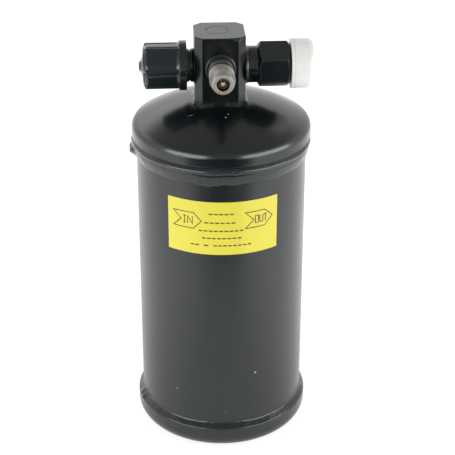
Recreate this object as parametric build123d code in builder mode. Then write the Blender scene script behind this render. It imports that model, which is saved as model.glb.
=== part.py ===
from build123d import *
import os
from math import cos, sin, sqrt, radians, pi

# Filter drier for a refrigeration circuit: a welded steel canister with a square
# head block that carries two flare fittings on its sides and a service valve in
# front, and a desiccant bed, pads, plates and pickup tube sealed inside.
# Millimetres. Z is the canister's axis, the base stands on Z = 0, +X points out
# of the outlet fitting, -X out of the inlet fitting and -Y out of the service valve.

os.makedirs("parts", exist_ok=True)

# ---------------------------------------------------------------- dimensions
# canister
shell_r = 38.1            # outside radius of the drawn tube (3 in diameter)
shell_wall = 2.0
shell_in_r = shell_r - shell_wall
shell_z0 = 6.6            # lower end, on the bottom cap's inside radius
shell_z1 = 148.3          # upper end, inside the top cap's skirt

# bottom cap
bcap_r = 40.3
bcap_wall = bcap_r - shell_r
bcap_corner = 6.5
bcap_rim_z = 10.4

# top cap
tcap_r = 40.1
tcap_wall = tcap_r - shell_r
tcap_lip_r = 40.14        # very slightly flared lower edge of the skirt
tcap_rim_z = 144.6
tcap_knuckle_z = 148.6    # height where the knuckle radius starts
tcap_knuckle = 4.2
tcap_apex_z = 162.8
_kr = tcap_r - tcap_knuckle
_kh = tcap_apex_z - tcap_knuckle_z
# crown radius that runs tangent into the knuckle
tcap_crown = (_kr ** 2 + _kh ** 2 - tcap_knuckle ** 2) / (2 * (_kh - tcap_knuckle))
tcap_crown_z = tcap_apex_z - tcap_crown     # centre of the crown sphere

# seam welds
bweld_toe_z = 14.2
tweld_top_z = 144.3
tweld_toe_z = 135.5

# head block: 22.2 mm (7/8 in) square bar
block_x = -0.9            # the block sits a little off the canister's axis
block_w = 22.2
block_h = block_w / 2
block_chamfer = 3.2
block_top_z = 192.4
spigot_r = 10.5
spigot_z = 157.6
tube_r = 3.97             # 5/16 in pickup tube
tube_wall = 0.8
tube_seat_z = 172.5
bore_r = 3.4
plug_r = 5.0
plug_x, plug_y = -1.9, 0.5
plug_depth = 4.0
gallery_dx = -7.3
gallery_r = 2.2

# ports
port_z = 176.7
flare_thread_r = 7.94     # 5/8-18 thread, 3/8 in flare
thread_pitch = 25.4 / 18
inlet_seat_r, inlet_seat_depth = 6.0, 3.0
inlet_neck_r = 7.25
outlet_seat_r, outlet_seat_depth = 6.5, 4.0
outlet_neck_r = 8.05
port_bore_r = 3.6
hex_af = 18.7
hex_x0, hex_x1 = 16.4, 31.1   # from the block's centre
hex_turn = 32.8
hex_end_r = 7.9
outlet_tip = 40.0

# caps
icap_x0, icap_x1 = 14.4, 33.5
icap_flange_x = 17.7
icap_flange_r = 10.9
icap_r = 9.85
icap_rib_r = 10.35
icap_rib_w = 1.9
icap_ribs = 6
icap_rib_turn = 64.0
icap_bore_r = 8.0
icap_floor_x = 31.9
icap_nub_x = 35.2
ocap_x0, ocap_x1 = 31.2, 41.7
ocap_r = 11.05
ocap_bore_r = 8.0
ocap_floor_x = 40.2

# service valve: 1/4 in access fitting, 7/16-20 thread
valve_z = 179.4
valve_seat_r, valve_seat_depth = 5.0, 4.0
valve_collar_r = 6.6
valve_groove_r = 5.1
valve_thread_r = 5.56
valve_tip_r = 4.4
valve_tip = 32.0          # from the canister's axis
valve_bore_r = 2.7
pin_travel = 1.5

# label
label_z0, label_z1 = 102.4, 127.9
label_mid, label_half = -92.0, 38.575
label_t = 0.15

# inside
bed_r = 36.0
bed_z = (30.0, 31.5, 37.5, 108.0, 114.0, 115.5)
tube_low_z = 12.0


def outwards(sign_x):
    """plane whose x runs out along a port and whose y is up"""
    if sign_x < 0:
        return Plane(origin=(block_x, 0, port_z), x_dir=(-1, 0, 0), z_dir=(0, 1, 0))
    return Plane(origin=(block_x, 0, port_z), x_dir=(1, 0, 0), z_dir=(0, -1, 0))


inlet_plane = outwards(-1)
outlet_plane = outwards(1)
valve_plane = Plane(origin=(block_x, 0, valve_z), x_dir=(0, -1, 0), z_dir=(-1, 0, 0))
inlet_axis = Axis((block_x, 0, port_z), (-1, 0, 0))
outlet_axis = Axis((block_x, 0, port_z), (1, 0, 0))
valve_axis = Axis((block_x, 0, valve_z), (0, -1, 0))


# ---------------------------------------------------------------- canister
with BuildPart() as shell_body:
    with BuildSketch(Plane.XZ):
        with BuildLine():
            Polyline((shell_in_r, shell_z0), (shell_r, shell_z0), (shell_r, shell_z1),
                     (shell_in_r, shell_z1), close=True)
        make_face()
    revolve(axis=Axis.Z)
shell_body.part.label = "shell_body"

# flat-bottomed pressed cap, its skirt outside the tube
with BuildPart() as bottom_cap:
    with BuildSketch(Plane.XZ):
        with BuildLine():
            c0 = (bcap_r - bcap_corner, bcap_corner)
            Line((0, 0), (bcap_r - bcap_corner, 0))
            CenterArc(c0, bcap_corner, 270, 90)
            Polyline((bcap_r, bcap_corner), (bcap_r, bcap_rim_z), (shell_r, bcap_rim_z), (shell_r, bcap_corner))
            CenterArc(c0, bcap_corner - bcap_wall, 270, 90)
            Polyline((bcap_r - bcap_corner, bcap_wall), (0, bcap_wall), (0, 0))
        make_face()
    revolve(axis=Axis.Z)
bottom_cap.part.label = "bottom_cap"

# domed pressed cap: crown, knuckle, skirt with a slightly flared edge
with BuildPart() as top_cap:
    with BuildSketch(Plane.XZ):
        with BuildLine():
            # tangent point of crown and knuckle
            ux, uz = _kr / (tcap_crown - tcap_knuckle), (tcap_knuckle_z - tcap_crown_z) / (tcap_crown - tcap_knuckle)
            out_t = (tcap_crown * ux, tcap_crown_z + tcap_crown * uz)
            in_r = tcap_crown - tcap_wall
            in_t = (in_r * ux, tcap_crown_z + in_r * uz)
            kc = (_kr, tcap_knuckle_z)
            half = radians(10)
            ThreePointArc((0, tcap_apex_z), (tcap_crown * sin(half), tcap_crown_z + tcap_crown * cos(half)), out_t)
            mid = radians(30)
            ThreePointArc(out_t, (kc[0] + tcap_knuckle * cos(mid), kc[1] + tcap_knuckle * sin(mid)),
                          (tcap_r, tcap_knuckle_z))
            Polyline((tcap_r, tcap_knuckle_z), (tcap_r, tcap_rim_z + 1.6), (tcap_lip_r, tcap_rim_z + 0.5),
                     (tcap_lip_r - 0.4, tcap_rim_z), (shell_r, tcap_rim_z), (shell_r, tcap_knuckle_z))
            ki = tcap_knuckle - tcap_wall
            ThreePointArc((shell_r, tcap_knuckle_z), (kc[0] + ki * cos(mid), kc[1] + ki * sin(mid)), in_t)
            ThreePointArc(in_t, (in_r * sin(half), tcap_crown_z + in_r * cos(half)), (0, tcap_apex_z - tcap_wall))
            Line((0, tcap_apex_z - tcap_wall), (0, tcap_apex_z))
        make_face()
    revolve(axis=Axis.Z)
    # hole for the head block's spigot
    with BuildSketch(Plane.XY.offset(150)):
        with Locations((block_x, 0)):
            Circle(spigot_r)
    extrude(amount=20, mode=Mode.SUBTRACT)
top_cap.part.label = "top_cap"

# fillet weld between the bottom cap's rim and the tube
with BuildPart() as bottom_seam_weld:
    with BuildSketch(Plane.XZ):
        with BuildLine():
            Line((shell_r, bcap_rim_z), (bcap_r - 0.15, bcap_rim_z))
            Spline((bcap_r - 0.15, bcap_rim_z), (bcap_r - 0.45, 12.0), (shell_r + 0.95, 13.3), (shell_r, bweld_toe_z))
            Line((shell_r, bweld_toe_z), (shell_r, bcap_rim_z))
        make_face()
    revolve(axis=Axis.Z)
bottom_seam_weld.part.label = "bottom_seam_weld"

# wide weld under the top cap's edge, with the lap at its start and stop
with BuildPart() as top_seam_weld:
    with BuildSketch(Plane.XZ):
        with BuildLine():
            Polyline((shell_r, tcap_rim_z), (39.2, tcap_rim_z), (39.5, tweld_top_z - 0.2), (40.0, 143.7))
            Spline((40.0, 143.7), (40.2, 143.1), (39.9, 141.3), (39.1, 138.4), (38.35, 136.2), (shell_r, tweld_toe_z))
            Line((shell_r, tweld_toe_z), (shell_r, tcap_rim_z))
        make_face()
    revolve(axis=Axis.Z)
    for lump_a, lump_z, lump_s in ((176.5, 137.6, 2.7), (180.5, 136.8, 3.0), (184.5, 137.4, 2.5)):
        with Locations((38.5 * cos(radians(lump_a)), 38.5 * sin(radians(lump_a)), lump_z)):
            Sphere(lump_s)
    with BuildSketch(Plane.XY.offset(130)):
        Circle(shell_r)
    extrude(amount=tcap_rim_z - 130, mode=Mode.SUBTRACT)
top_seam_weld.part.label = "top_seam_weld"


# ---------------------------------------------------------------- head block
with BuildPart() as head_block:
    with BuildSketch(Plane.XY.offset(158.5)):
        with Locations((block_x, 0)):
            Rectangle(block_w, block_w)
    extrude(amount=block_top_z - 158.5)
    chamfer(head_block.edges().filter_by(Axis.Z), block_chamfer)
    # foot dished to the crown of the cap
    with Locations((0, 0, tcap_crown_z)):
        Sphere(tcap_crown, mode=Mode.SUBTRACT)
    # spigot down through the cap
    with BuildSketch(Plane.XY.offset(spigot_z)):
        with Locations((block_x, 0)):
            Circle(spigot_r)
    extrude(amount=8)
    # vertical drilling, closed on top by a plug, and the tube's seat below
    with BuildSketch(Plane.XY.offset(spigot_z)):
        with Locations((block_x, 0)):
            Circle(tube_r)
    extrude(amount=tube_seat_z - spigot_z, mode=Mode.SUBTRACT)
    with BuildSketch(Plane.XY.offset(tube_seat_z)):
        with Locations((block_x, 0)):
            Circle(bore_r)
    extrude(amount=block_top_z - plug_depth - tube_seat_z, mode=Mode.SUBTRACT)
    with BuildSketch(Plane.XY.offset(block_top_z - plug_depth)):
        with Locations((plug_x, plug_y)):
            Circle(plug_r)
    extrude(amount=plug_depth, mode=Mode.SUBTRACT)
    # inlet: seat, cross drilling, and the gallery down into the canister
    with BuildSketch(inlet_plane):
        with BuildLine():
            Polyline((block_h + 1, 0), (block_h + 1, inlet_seat_r), (block_h - inlet_seat_depth, inlet_seat_r),
                     (block_h - inlet_seat_depth, 3.4), (5.6, 3.4), (5.6, 0), close=True)
        make_face()
    revolve(axis=inlet_axis, mode=Mode.SUBTRACT)
    with BuildSketch(Plane.XY.offset(spigot_z)):
        with Locations((block_x + gallery_dx, 0)):
            Circle(gallery_r)
    extrude(amount=port_z - spigot_z, mode=Mode.SUBTRACT)
    # outlet: seat and cross drilling into the vertical drilling
    with BuildSketch(outlet_plane):
        with BuildLine():
            Polyline((block_h + 1, 0), (block_h + 1, outlet_seat_r), (block_h - outlet_seat_depth, outlet_seat_r),
                     (block_h - outlet_seat_depth, port_bore_r), (0, port_bore_r), (0, 0), close=True)
        make_face()
    revolve(axis=outlet_axis, mode=Mode.SUBTRACT)
    # service valve: seat and pressure passage
    with BuildSketch(valve_plane):
        with BuildLine():
            Polyline((block_h + 1, 0), (block_h + 1, valve_seat_r), (block_h - valve_seat_depth, valve_seat_r),
                     (block_h - valve_seat_depth, 1.6), (0, 1.6), (0, 0), close=True)
        make_face()
    revolve(axis=valve_axis, mode=Mode.SUBTRACT)
    # small facet filed off the front right corner of the top face
    split(bisect_by=Plane(origin=(block_x + 4.1, -block_h, block_top_z), z_dir=(1.6, -7.68, 3.8)), keep=Keep.BOTTOM)
    top_edges = head_block.faces().sort_by(Axis.Z)[-1].outer_wire().edges()
    chamfer([e for e in top_edges if e.length > 1.6], 0.3)
head_block.part.label = "head_block"

# plug pressed into the top of the vertical drilling
with BuildPart() as head_plug:
    with BuildSketch(Plane.XY.offset(block_top_z - plug_depth)):
        with Locations((plug_x, plug_y)):
            Circle(plug_r)
    extrude(amount=plug_depth)
    chamfer(head_plug.faces().sort_by(Axis.Z)[-1].edges(), 0.3)
head_plug.part.label = "head_plug"

# fillet weld round the foot of the block, following the crown
with BuildPart() as head_block_weld:
    with BuildSketch(Plane.XY.offset(159.6)) as weld_foot:
        with Locations((block_x, 0)):
            Rectangle(block_w + 5.6, block_w + 5.6)
        chamfer(weld_foot.vertices(), 4.6)
    extrude(amount=3.7, taper=35)
    with Locations((0, 0, tcap_crown_z)):
        Sphere(tcap_crown, mode=Mode.SUBTRACT)
    with BuildSketch(Plane.XY.offset(150)) as weld_core:
        with Locations((block_x, 0)):
            Rectangle(block_w, block_w)
        chamfer(weld_core.vertices(), block_chamfer)
    extrude(amount=20, mode=Mode.SUBTRACT)
head_block_weld.part.label = "head_block_weld"


# ---------------------------------------------------------------- fittings
# inlet: turned stub, spigot in the block, neck, 5/8-18 thread and 45 degree nose
with BuildPart() as inlet_fitting:
    with BuildSketch(inlet_plane):
        with BuildLine():
            Polyline((block_h - inlet_seat_depth, port_bore_r), (block_h - inlet_seat_depth, inlet_seat_r),
                     (block_h, inlet_seat_r), (block_h, inlet_neck_r), (12.5, inlet_neck_r), (12.7, 6.8),
                     (13.3, 6.8), (13.5, inlet_neck_r), (14.6, inlet_neck_r), (15.3, flare_thread_r),
                     (28.4, flare_thread_r), (29.0, 7.3), (31.3, 5.0), (31.3, port_bore_r), close=True)
        make_face()
    revolve(axis=inlet_axis)
inlet_fitting.part.label = "inlet_fitting"

# outlet: braze neck, hexagon and the short male thread in one turned piece
with BuildPart() as outlet_fitting:
    with BuildSketch(Plane(origin=(block_x + hex_x0, 0, port_z), x_dir=(0, 1, 0), z_dir=(1, 0, 0))):
        RegularPolygon(hex_af / 2, 6, major_radius=False, rotation=hex_turn)
    extrude(amount=hex_x1 - hex_x0)
    hex_c = hex_af / 2 / cos(pi / 6) + 0.6
    hex_dx = (hex_c - hex_end_r) * 0.57735
    with BuildSketch(outlet_plane):
        with BuildLine():
            Polyline((hex_x0, 0), (hex_x0, hex_end_r), (hex_x0 + hex_dx, hex_c), (hex_x1 - hex_dx, hex_c),
                     (hex_x1, hex_end_r), (hex_x1, 0), close=True)
        make_face()
    revolve(axis=outlet_axis, mode=Mode.INTERSECT)
    with BuildSketch(outlet_plane):
        with BuildLine():
            Polyline((block_h - outlet_seat_depth, 0), (block_h - outlet_seat_depth, outlet_seat_r),
                     (block_h, outlet_seat_r), (block_h, outlet_neck_r), (hex_x0 + 0.5, outlet_neck_r),
                     (hex_x0 + 0.5, 6.8), (hex_x1 + 0.3, 6.8), (hex_x1 + 0.9, 7.2), (hex_x1 + 1.3, flare_thread_r),
                     (38.0, flare_thread_r), (38.4, 7.3), (outlet_tip, 5.7), (outlet_tip, 0), close=True)
        make_face()
    revolve(axis=outlet_axis)
    with BuildSketch(outlet_plane):
        with BuildLine():
            Polyline((0, 0), (0, port_bore_r), (outlet_tip + 1, port_bore_r), (outlet_tip + 1, 0), close=True)
        make_face()
    revolve(axis=outlet_axis, mode=Mode.SUBTRACT)
outlet_fitting.part.label = "outlet_fitting"

# braze rings where the fittings meet the block
with BuildPart() as inlet_braze_ring:
    with BuildSketch(inlet_plane):
        with BuildLine():
            Line((block_h, inlet_neck_r), (block_h, inlet_neck_r + 0.9))
            ThreePointArc((block_h, inlet_neck_r + 0.9), (block_h + 0.28, inlet_neck_r + 0.28),
                          (block_h + 0.9, inlet_neck_r))
            Line((block_h + 0.9, inlet_neck_r), (block_h, inlet_neck_r))
        make_face()
    revolve(axis=inlet_axis)
inlet_braze_ring.part.label = "inlet_braze_ring"

with BuildPart() as outlet_braze_ring:
    with BuildSketch(outlet_plane):
        with BuildLine():
            Line((block_h, outlet_neck_r), (block_h, outlet_neck_r + 1.5))
            ThreePointArc((block_h, outlet_neck_r + 1.5), (block_h + 0.55, outlet_neck_r + 0.5),
                          (block_h + 1.8, outlet_neck_r))
            Line((block_h + 1.8, outlet_neck_r), (block_h, outlet_neck_r))
        make_face()
    revolve(axis=outlet_axis)
outlet_braze_ring.part.label = "outlet_braze_ring"

# service valve body: brazed spigot, painted collar, groove, threaded barrel, nose
with BuildPart() as service_valve_body:
    with BuildSketch(valve_plane):
        with BuildLine():
            Polyline((block_h - valve_seat_depth, 2.1), (block_h - valve_seat_depth, valve_seat_r),
                     (block_h, valve_seat_r), (block_h, valve_collar_r), (13.1, valve_collar_r),
                     (13.5, valve_collar_r - 0.4), (13.5, valve_groove_r), (14.6, valve_groove_r),
                     (15.0, valve_thread_r), (27.0, valve_thread_r), (28.6, valve_thread_r - 0.35))
            Spline((28.6, valve_thread_r - 0.35), (30.4, 4.95), (valve_tip, valve_tip_r))
            Polyline((valve_tip, valve_tip_r), (valve_tip, valve_bore_r + 0.25), (valve_tip - 0.25, valve_bore_r),
                     (23.6, valve_bore_r), (22.4, 2.1), (block_h - valve_seat_depth, 2.1))
        make_face()
    revolve(axis=valve_axis)
service_valve_body.part.label = "service_valve_body"

# valve core: brass barrel with two wrench flats, spring chamber and pin hole
with BuildPart() as valve_core_body:
    with BuildSketch(valve_plane):
        with BuildLine():
            Polyline((19.5, 1.06), (19.5, 1.8), (22.2, 1.8), (22.2, 2.05), (22.9, 2.05), (22.9, 1.8), (23.6, 1.8),
                     (24.0, 2.64), (29.9, 2.64), (30.2, 2.3), (30.2, 1.85), (24.6, 1.85), (24.6, 1.06), close=True)
        make_face()
    revolve(axis=valve_axis)
    # wrench slot across the outer end
    with BuildSketch(Plane(origin=(block_x, -30.3, valve_z), x_dir=(1, 0, 0), z_dir=(0, 1, 0))):
        Rectangle(6, 1.1)
    extrude(amount=1.6, mode=Mode.SUBTRACT)
valve_core_body.part.label = "valve_core_body"

with BuildPart() as valve_core_seal:
    with BuildSketch(valve_plane):
        with BuildLine():
            Polyline((22.9, 1.82), (22.9, 2.09), (23.5, 2.6), (23.6, 2.6), (23.6, 1.82), close=True)
        make_face()
    revolve(axis=valve_axis)
valve_core_seal.part.label = "valve_core_seal"

# depressor pin with its spring collar and the plunger cup at the inner end
with BuildPart() as valve_core_pin:
    with BuildSketch(valve_plane):
        with BuildLine():
            Polyline((17.3, 0), (17.3, 1.7), (18.9, 1.7), (18.9, 1.0), (28.4, 1.0), (28.4, 1.7), (29.2, 1.7),
                     (29.2, 1.0), (30.9, 1.0), (31.2, 0.7), (31.2, 0), close=True)
        make_face()
    revolve(axis=valve_axis)
valve_core_pin.part.label = "valve_core_pin"

with BuildPart() as valve_plunger_seal:
    with BuildSketch(valve_plane):
        with BuildLine():
            Polyline((18.9, 1.02), (18.9, 1.7), (19.48, 1.7), (19.48, 1.02), close=True)
        make_face()
    revolve(axis=valve_axis)
valve_plunger_seal.part.label = "valve_plunger_seal"

with BuildPart() as valve_core_spring:
    with BuildLine() as core_helix:
        Helix(0.85, 3.2, 1.42, center=(block_x, -24.95, valve_z), direction=(0, -1, 0))
    with BuildSketch(Plane(origin=core_helix.line @ 0, z_dir=core_helix.line % 0)):
        Circle(0.2)
    sweep(is_frenet=True)
valve_core_spring.part.label = "valve_core_spring"


# ---------------------------------------------------------------- port caps
# ribbed black screw cap on the inlet
with BuildPart() as inlet_cap:
    with BuildSketch(inlet_plane):
        with BuildLine():
            Polyline((icap_x0, 0), (icap_x0, icap_flange_r), (icap_flange_x, icap_flange_r),
                     (icap_flange_x, icap_r + 0.4), (icap_flange_x + 0.4, icap_r), (icap_x1 - 2.2, icap_r - 0.15))
            ThreePointArc((icap_x1 - 2.2, icap_r - 0.15), (icap_x1 - 0.75, icap_r - 0.85), (icap_x1, icap_r - 2.4))
            Spline((icap_x1, icap_r - 2.4), (icap_x1 + 0.15, 4.6), (icap_x1 + 0.75, 2.6), (icap_nub_x, 1.75))
            Polyline((icap_nub_x, 1.75), (icap_nub_x, 0), (icap_x0, 0))
        make_face()
    revolve(axis=inlet_axis)
    fillet(inlet_cap.edges().filter_by(GeomType.CIRCLE).filter_by(lambda e: abs(e.radius - icap_flange_r) < 0.01), 0.3)
    # six long ribs with rounded backs and ends
    for k in range(icap_ribs):
        a = radians(icap_rib_turn + 60 * k)
        rc = icap_rib_r - icap_rib_w / 2
        with BuildSketch(Plane(origin=(block_x - icap_flange_x + 0.1, -rc * cos(a), port_z + rc * sin(a)),
                               x_dir=(0, -sin(a), -cos(a)), z_dir=(-1, 0, 0))):
            Circle(icap_rib_w / 2)
        extrude(amount=icap_x1 - 1.7 - icap_flange_x)
        with Locations((block_x - icap_x1 + 1.6, -rc * cos(a), port_z + rc * sin(a))):
            Sphere(icap_rib_w / 2)
    with BuildSketch(inlet_plane):
        with BuildLine():
            Polyline((icap_x0 - 1, 0), (icap_x0 - 1, icap_bore_r), (30.4, icap_bore_r), (icap_floor_x, 6.5),
                     (icap_floor_x, 0), close=True)
        make_face()
    revolve(axis=inlet_axis, mode=Mode.SUBTRACT)
inlet_cap.part.label = "inlet_cap"

# rubber disc inside the screw cap, pressed on the nose of the inlet
with BuildPart() as inlet_cap_seal:
    with BuildSketch(inlet_plane):
        with BuildLine():
            Polyline((31.32, 0), (31.32, 6.2), (31.88, 6.2), (31.88, 0), close=True)
        make_face()
    revolve(axis=inlet_axis)
inlet_cap_seal.part.label = "inlet_cap_seal"

# natural polyethylene push-on cap on the outlet
with BuildPart() as outlet_cap:
    with BuildSketch(outlet_plane):
        with BuildLine():
            Polyline((ocap_x0, ocap_bore_r), (ocap_x0, ocap_r - 0.1), (ocap_x0 + 0.15, ocap_r), (ocap_x0 + 0.9, ocap_r),
                     (ocap_x0 + 1.05, ocap_r - 0.3), (ocap_x0 + 1.35, ocap_r - 0.3), (ocap_x0 + 1.5, ocap_r),
                     (ocap_x1 - 2.6, ocap_r - 0.1))
            ThreePointArc((ocap_x1 - 2.6, ocap_r - 0.1), (ocap_x1 - 1.1, ocap_r - 0.75), (ocap_x1 - 0.35, ocap_r - 2.4))
            Spline((ocap_x1 - 0.35, ocap_r - 2.4), (ocap_x1 - 0.08, 4.0), (ocap_x1, 0))
            Polyline((ocap_x1, 0), (ocap_floor_x, 0), (ocap_floor_x, 6.6), (ocap_floor_x - 1.4, ocap_bore_r),
                     (ocap_x0, ocap_bore_r))
        make_face()
    revolve(axis=outlet_axis)
outlet_cap.part.label = "outlet_cap"


# ---------------------------------------------------------------- label
with BuildPart() as label:
    with BuildSketch(Plane.XY.offset(label_z0)):
        with BuildLine():
            a0, a1 = label_mid - label_half, label_mid + label_half
            CenterArc((0, 0), shell_r, a0, a1 - a0)
            CenterArc((0, 0), shell_r + label_t, a0, a1 - a0)
            for a in (a0, a1):
                ca, sa = cos(radians(a)), sin(radians(a))
                Line((shell_r * ca, shell_r * sa), ((shell_r + label_t) * ca, (shell_r + label_t) * sa))
        make_face()
    extrude(amount=label_z1 - label_z0)
label.part.label = "label"


# ---------------------------------------------------------------- inside
# pickup tube from near the base up into the head block
with BuildPart() as pickup_tube:
    with BuildSketch(Plane.XY.offset(tube_low_z)):
        with Locations((block_x, 0)):
            Circle(tube_r)
            Circle(tube_r - tube_wall, mode=Mode.SUBTRACT)
    extrude(amount=tube_seat_z - tube_low_z)
pickup_tube.part.label = "pickup_tube"

# perforated strainer cup clipped on the tube's lower end
strainer_r, strainer_t = 6.2, 0.5
with BuildPart() as pickup_strainer:
    with BuildSketch(Plane(origin=(block_x, 0, 0), x_dir=(1, 0, 0), z_dir=(0, -1, 0))):
        with BuildLine():
            Polyline((0, 5.0), (strainer_r - 1, 5.0), (strainer_r, 6.0), (strainer_r, 17.0), (tube_r + 0.53, 19.5),
                     (tube_r + 0.53, 23.0), (tube_r + 0.03, 23.0), (tube_r + 0.03, 19.2),
                     (strainer_r - strainer_t, 16.8), (strainer_r - strainer_t, 6.2),
                     (strainer_r - 1.2, 5.0 + strainer_t), (0, 5.0 + strainer_t), close=True)
        make_face()
    revolve(axis=Axis((block_x, 0, 0), (0, 0, 1)))
    for row, hole_z in enumerate((7.6, 9.8, 12.0, 14.2)):
        for k in range(8):
            a = radians(45 * k + 22.5 * (row % 2))
            with BuildSketch(Plane(origin=(block_x, 0, hole_z), x_dir=(-sin(a), cos(a), 0), z_dir=(cos(a), sin(a), 0))):
                Circle(0.7)
            extrude(amount=strainer_r + 1, mode=Mode.SUBTRACT)
pickup_strainer.part.label = "pickup_strainer"


# perforated plates that hold the bed, each a pressed disc with a turned rim
plate_rings = ((9.5, 12), (14.5, 18), (19.5, 24), (24.5, 30), (29.5, 36))

with BuildPart() as lower_perforated_plate:
    with BuildSketch(Plane.XZ):
        with BuildLine():
            Polyline((0, bed_z[0]), (34.6, bed_z[0]), (34.6, 22.0), (bed_r, 22.0), (bed_r, bed_z[1] - 1.0),
                     (bed_r - 1.0, bed_z[1]), (0, bed_z[1]), close=True)
        make_face()
    revolve(axis=Axis.Z)
    with BuildSketch(Plane.XY.offset(bed_z[0] - 0.2)):
        with Locations((block_x, 0)):
            Circle(tube_r + 0.15)
        for ring_r, count in plate_rings:
            with PolarLocations(ring_r, count):
                Circle(1.1)
    extrude(amount=2.0, mode=Mode.SUBTRACT)
lower_perforated_plate.part.label = "lower_perforated_plate"

with BuildPart() as upper_perforated_plate:
    with BuildSketch(Plane.XZ):
        with BuildLine():
            Polyline((0, bed_z[4]), (bed_r - 1.1, bed_z[4]), (bed_r - 0.1, bed_z[4] + 1.0), (bed_r - 0.1, 122.0),
                     (34.5, 122.0), (34.5, bed_z[5]), (0, bed_z[5]), close=True)
        make_face()
    revolve(axis=Axis.Z)
    with BuildSketch(Plane.XY.offset(bed_z[4] - 0.2)):
        with Locations((block_x, 0)):
            Circle(tube_r + 0.15)
        for ring_r, count in plate_rings:
            with PolarLocations(ring_r, count):
                Circle(1.1)
    extrude(amount=2.0, mode=Mode.SUBTRACT)
upper_perforated_plate.part.label = "upper_perforated_plate"

with BuildPart() as lower_filter_pad:
    with BuildSketch(Plane.XY.offset(bed_z[1])):
        Circle(bed_r)
        with Locations((block_x, 0)):
            Circle(tube_r + 0.05, mode=Mode.SUBTRACT)
    extrude(amount=bed_z[2] - bed_z[1])
lower_filter_pad.part.label = "lower_filter_pad"

with BuildPart() as desiccant_bed:
    with BuildSketch(Plane.XY.offset(bed_z[2])):
        Circle(bed_r)
        with Locations((block_x, 0)):
            Circle(tube_r + 0.05, mode=Mode.SUBTRACT)
    extrude(amount=bed_z[3] - bed_z[2])
desiccant_bed.part.label = "desiccant_bed"

with BuildPart() as upper_filter_pad:
    with BuildSketch(Plane.XY.offset(bed_z[3])):
        Circle(bed_r)
        with Locations((block_x, 0)):
            Circle(tube_r + 0.05, mode=Mode.SUBTRACT)
    extrude(amount=bed_z[4] - bed_z[3])
upper_filter_pad.part.label = "upper_filter_pad"

# spring that keeps the bed packed, between the upper plate and the cap
with BuildPart() as bed_spring:
    with BuildLine() as bed_helix:
        Helix(9.6, 39.6, 16.0, center=(0, 0, bed_z[5] + 1.25))
    with BuildSketch(Plane(origin=bed_helix.line @ 0, z_dir=bed_helix.line % 0)):
        Circle(1.2)
    sweep(is_frenet=True)
bed_spring.part.label = "bed_spring"


pieces = [shell_body, bottom_cap, top_cap, bottom_seam_weld, top_seam_weld, head_block, head_plug,
          head_block_weld, inlet_fitting, inlet_braze_ring, outlet_fitting, outlet_braze_ring,
          service_valve_body, valve_core_body, valve_core_seal, valve_core_pin, valve_plunger_seal,
          valve_core_spring, inlet_cap, inlet_cap_seal, outlet_cap, label, pickup_tube, pickup_strainer,
          lower_perforated_plate, lower_filter_pad, desiccant_bed, upper_filter_pad,
          upper_perforated_plate, bed_spring]
for piece in pieces:
    export_step(piece.part, "parts/" + piece.part.label + ".step")
    print(piece.part.label, round(piece.part.volume, 1))
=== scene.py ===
import math

import bpy
import bmesh
import numpy as np
from mathutils import Vector, Matrix, noise


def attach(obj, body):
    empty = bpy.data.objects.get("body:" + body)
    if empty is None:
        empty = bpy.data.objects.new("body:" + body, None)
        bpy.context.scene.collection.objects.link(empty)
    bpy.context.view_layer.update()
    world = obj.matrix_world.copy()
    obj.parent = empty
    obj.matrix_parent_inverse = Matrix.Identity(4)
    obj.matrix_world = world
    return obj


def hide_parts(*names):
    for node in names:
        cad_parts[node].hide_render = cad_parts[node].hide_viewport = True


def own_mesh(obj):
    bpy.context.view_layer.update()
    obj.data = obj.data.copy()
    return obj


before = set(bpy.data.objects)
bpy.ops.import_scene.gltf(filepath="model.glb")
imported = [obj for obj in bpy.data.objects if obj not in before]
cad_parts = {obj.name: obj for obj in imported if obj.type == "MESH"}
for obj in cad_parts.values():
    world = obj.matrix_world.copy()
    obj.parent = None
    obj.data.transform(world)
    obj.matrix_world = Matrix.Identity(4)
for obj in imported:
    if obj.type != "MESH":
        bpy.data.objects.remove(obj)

scene = bpy.context.scene
scene.view_settings.view_transform = "Standard"
scene.view_settings.look = "None"
scene.view_settings.exposure = 0.0
scene.view_settings.gamma = 1.0

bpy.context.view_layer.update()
MM = 0.001

# ------------------------------------------------------------------ sizes, mm
BX = -0.9            # centre of the head block
PORT_Z = 176.7
VALVE_Z = 179.4
SHELL_R = 38.1
PITCH_58 = 25.4 / 18   # 5/8-18 thread
PITCH_716 = 25.4 / 20  # 7/16-20 thread
HEX_VERTEX = 32.8      # angle of one corner of the hexagon, from +Y towards +Z
RIB_TURN = 64.0        # angle of one rib of the inlet cap, from -Y towards +Z


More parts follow.
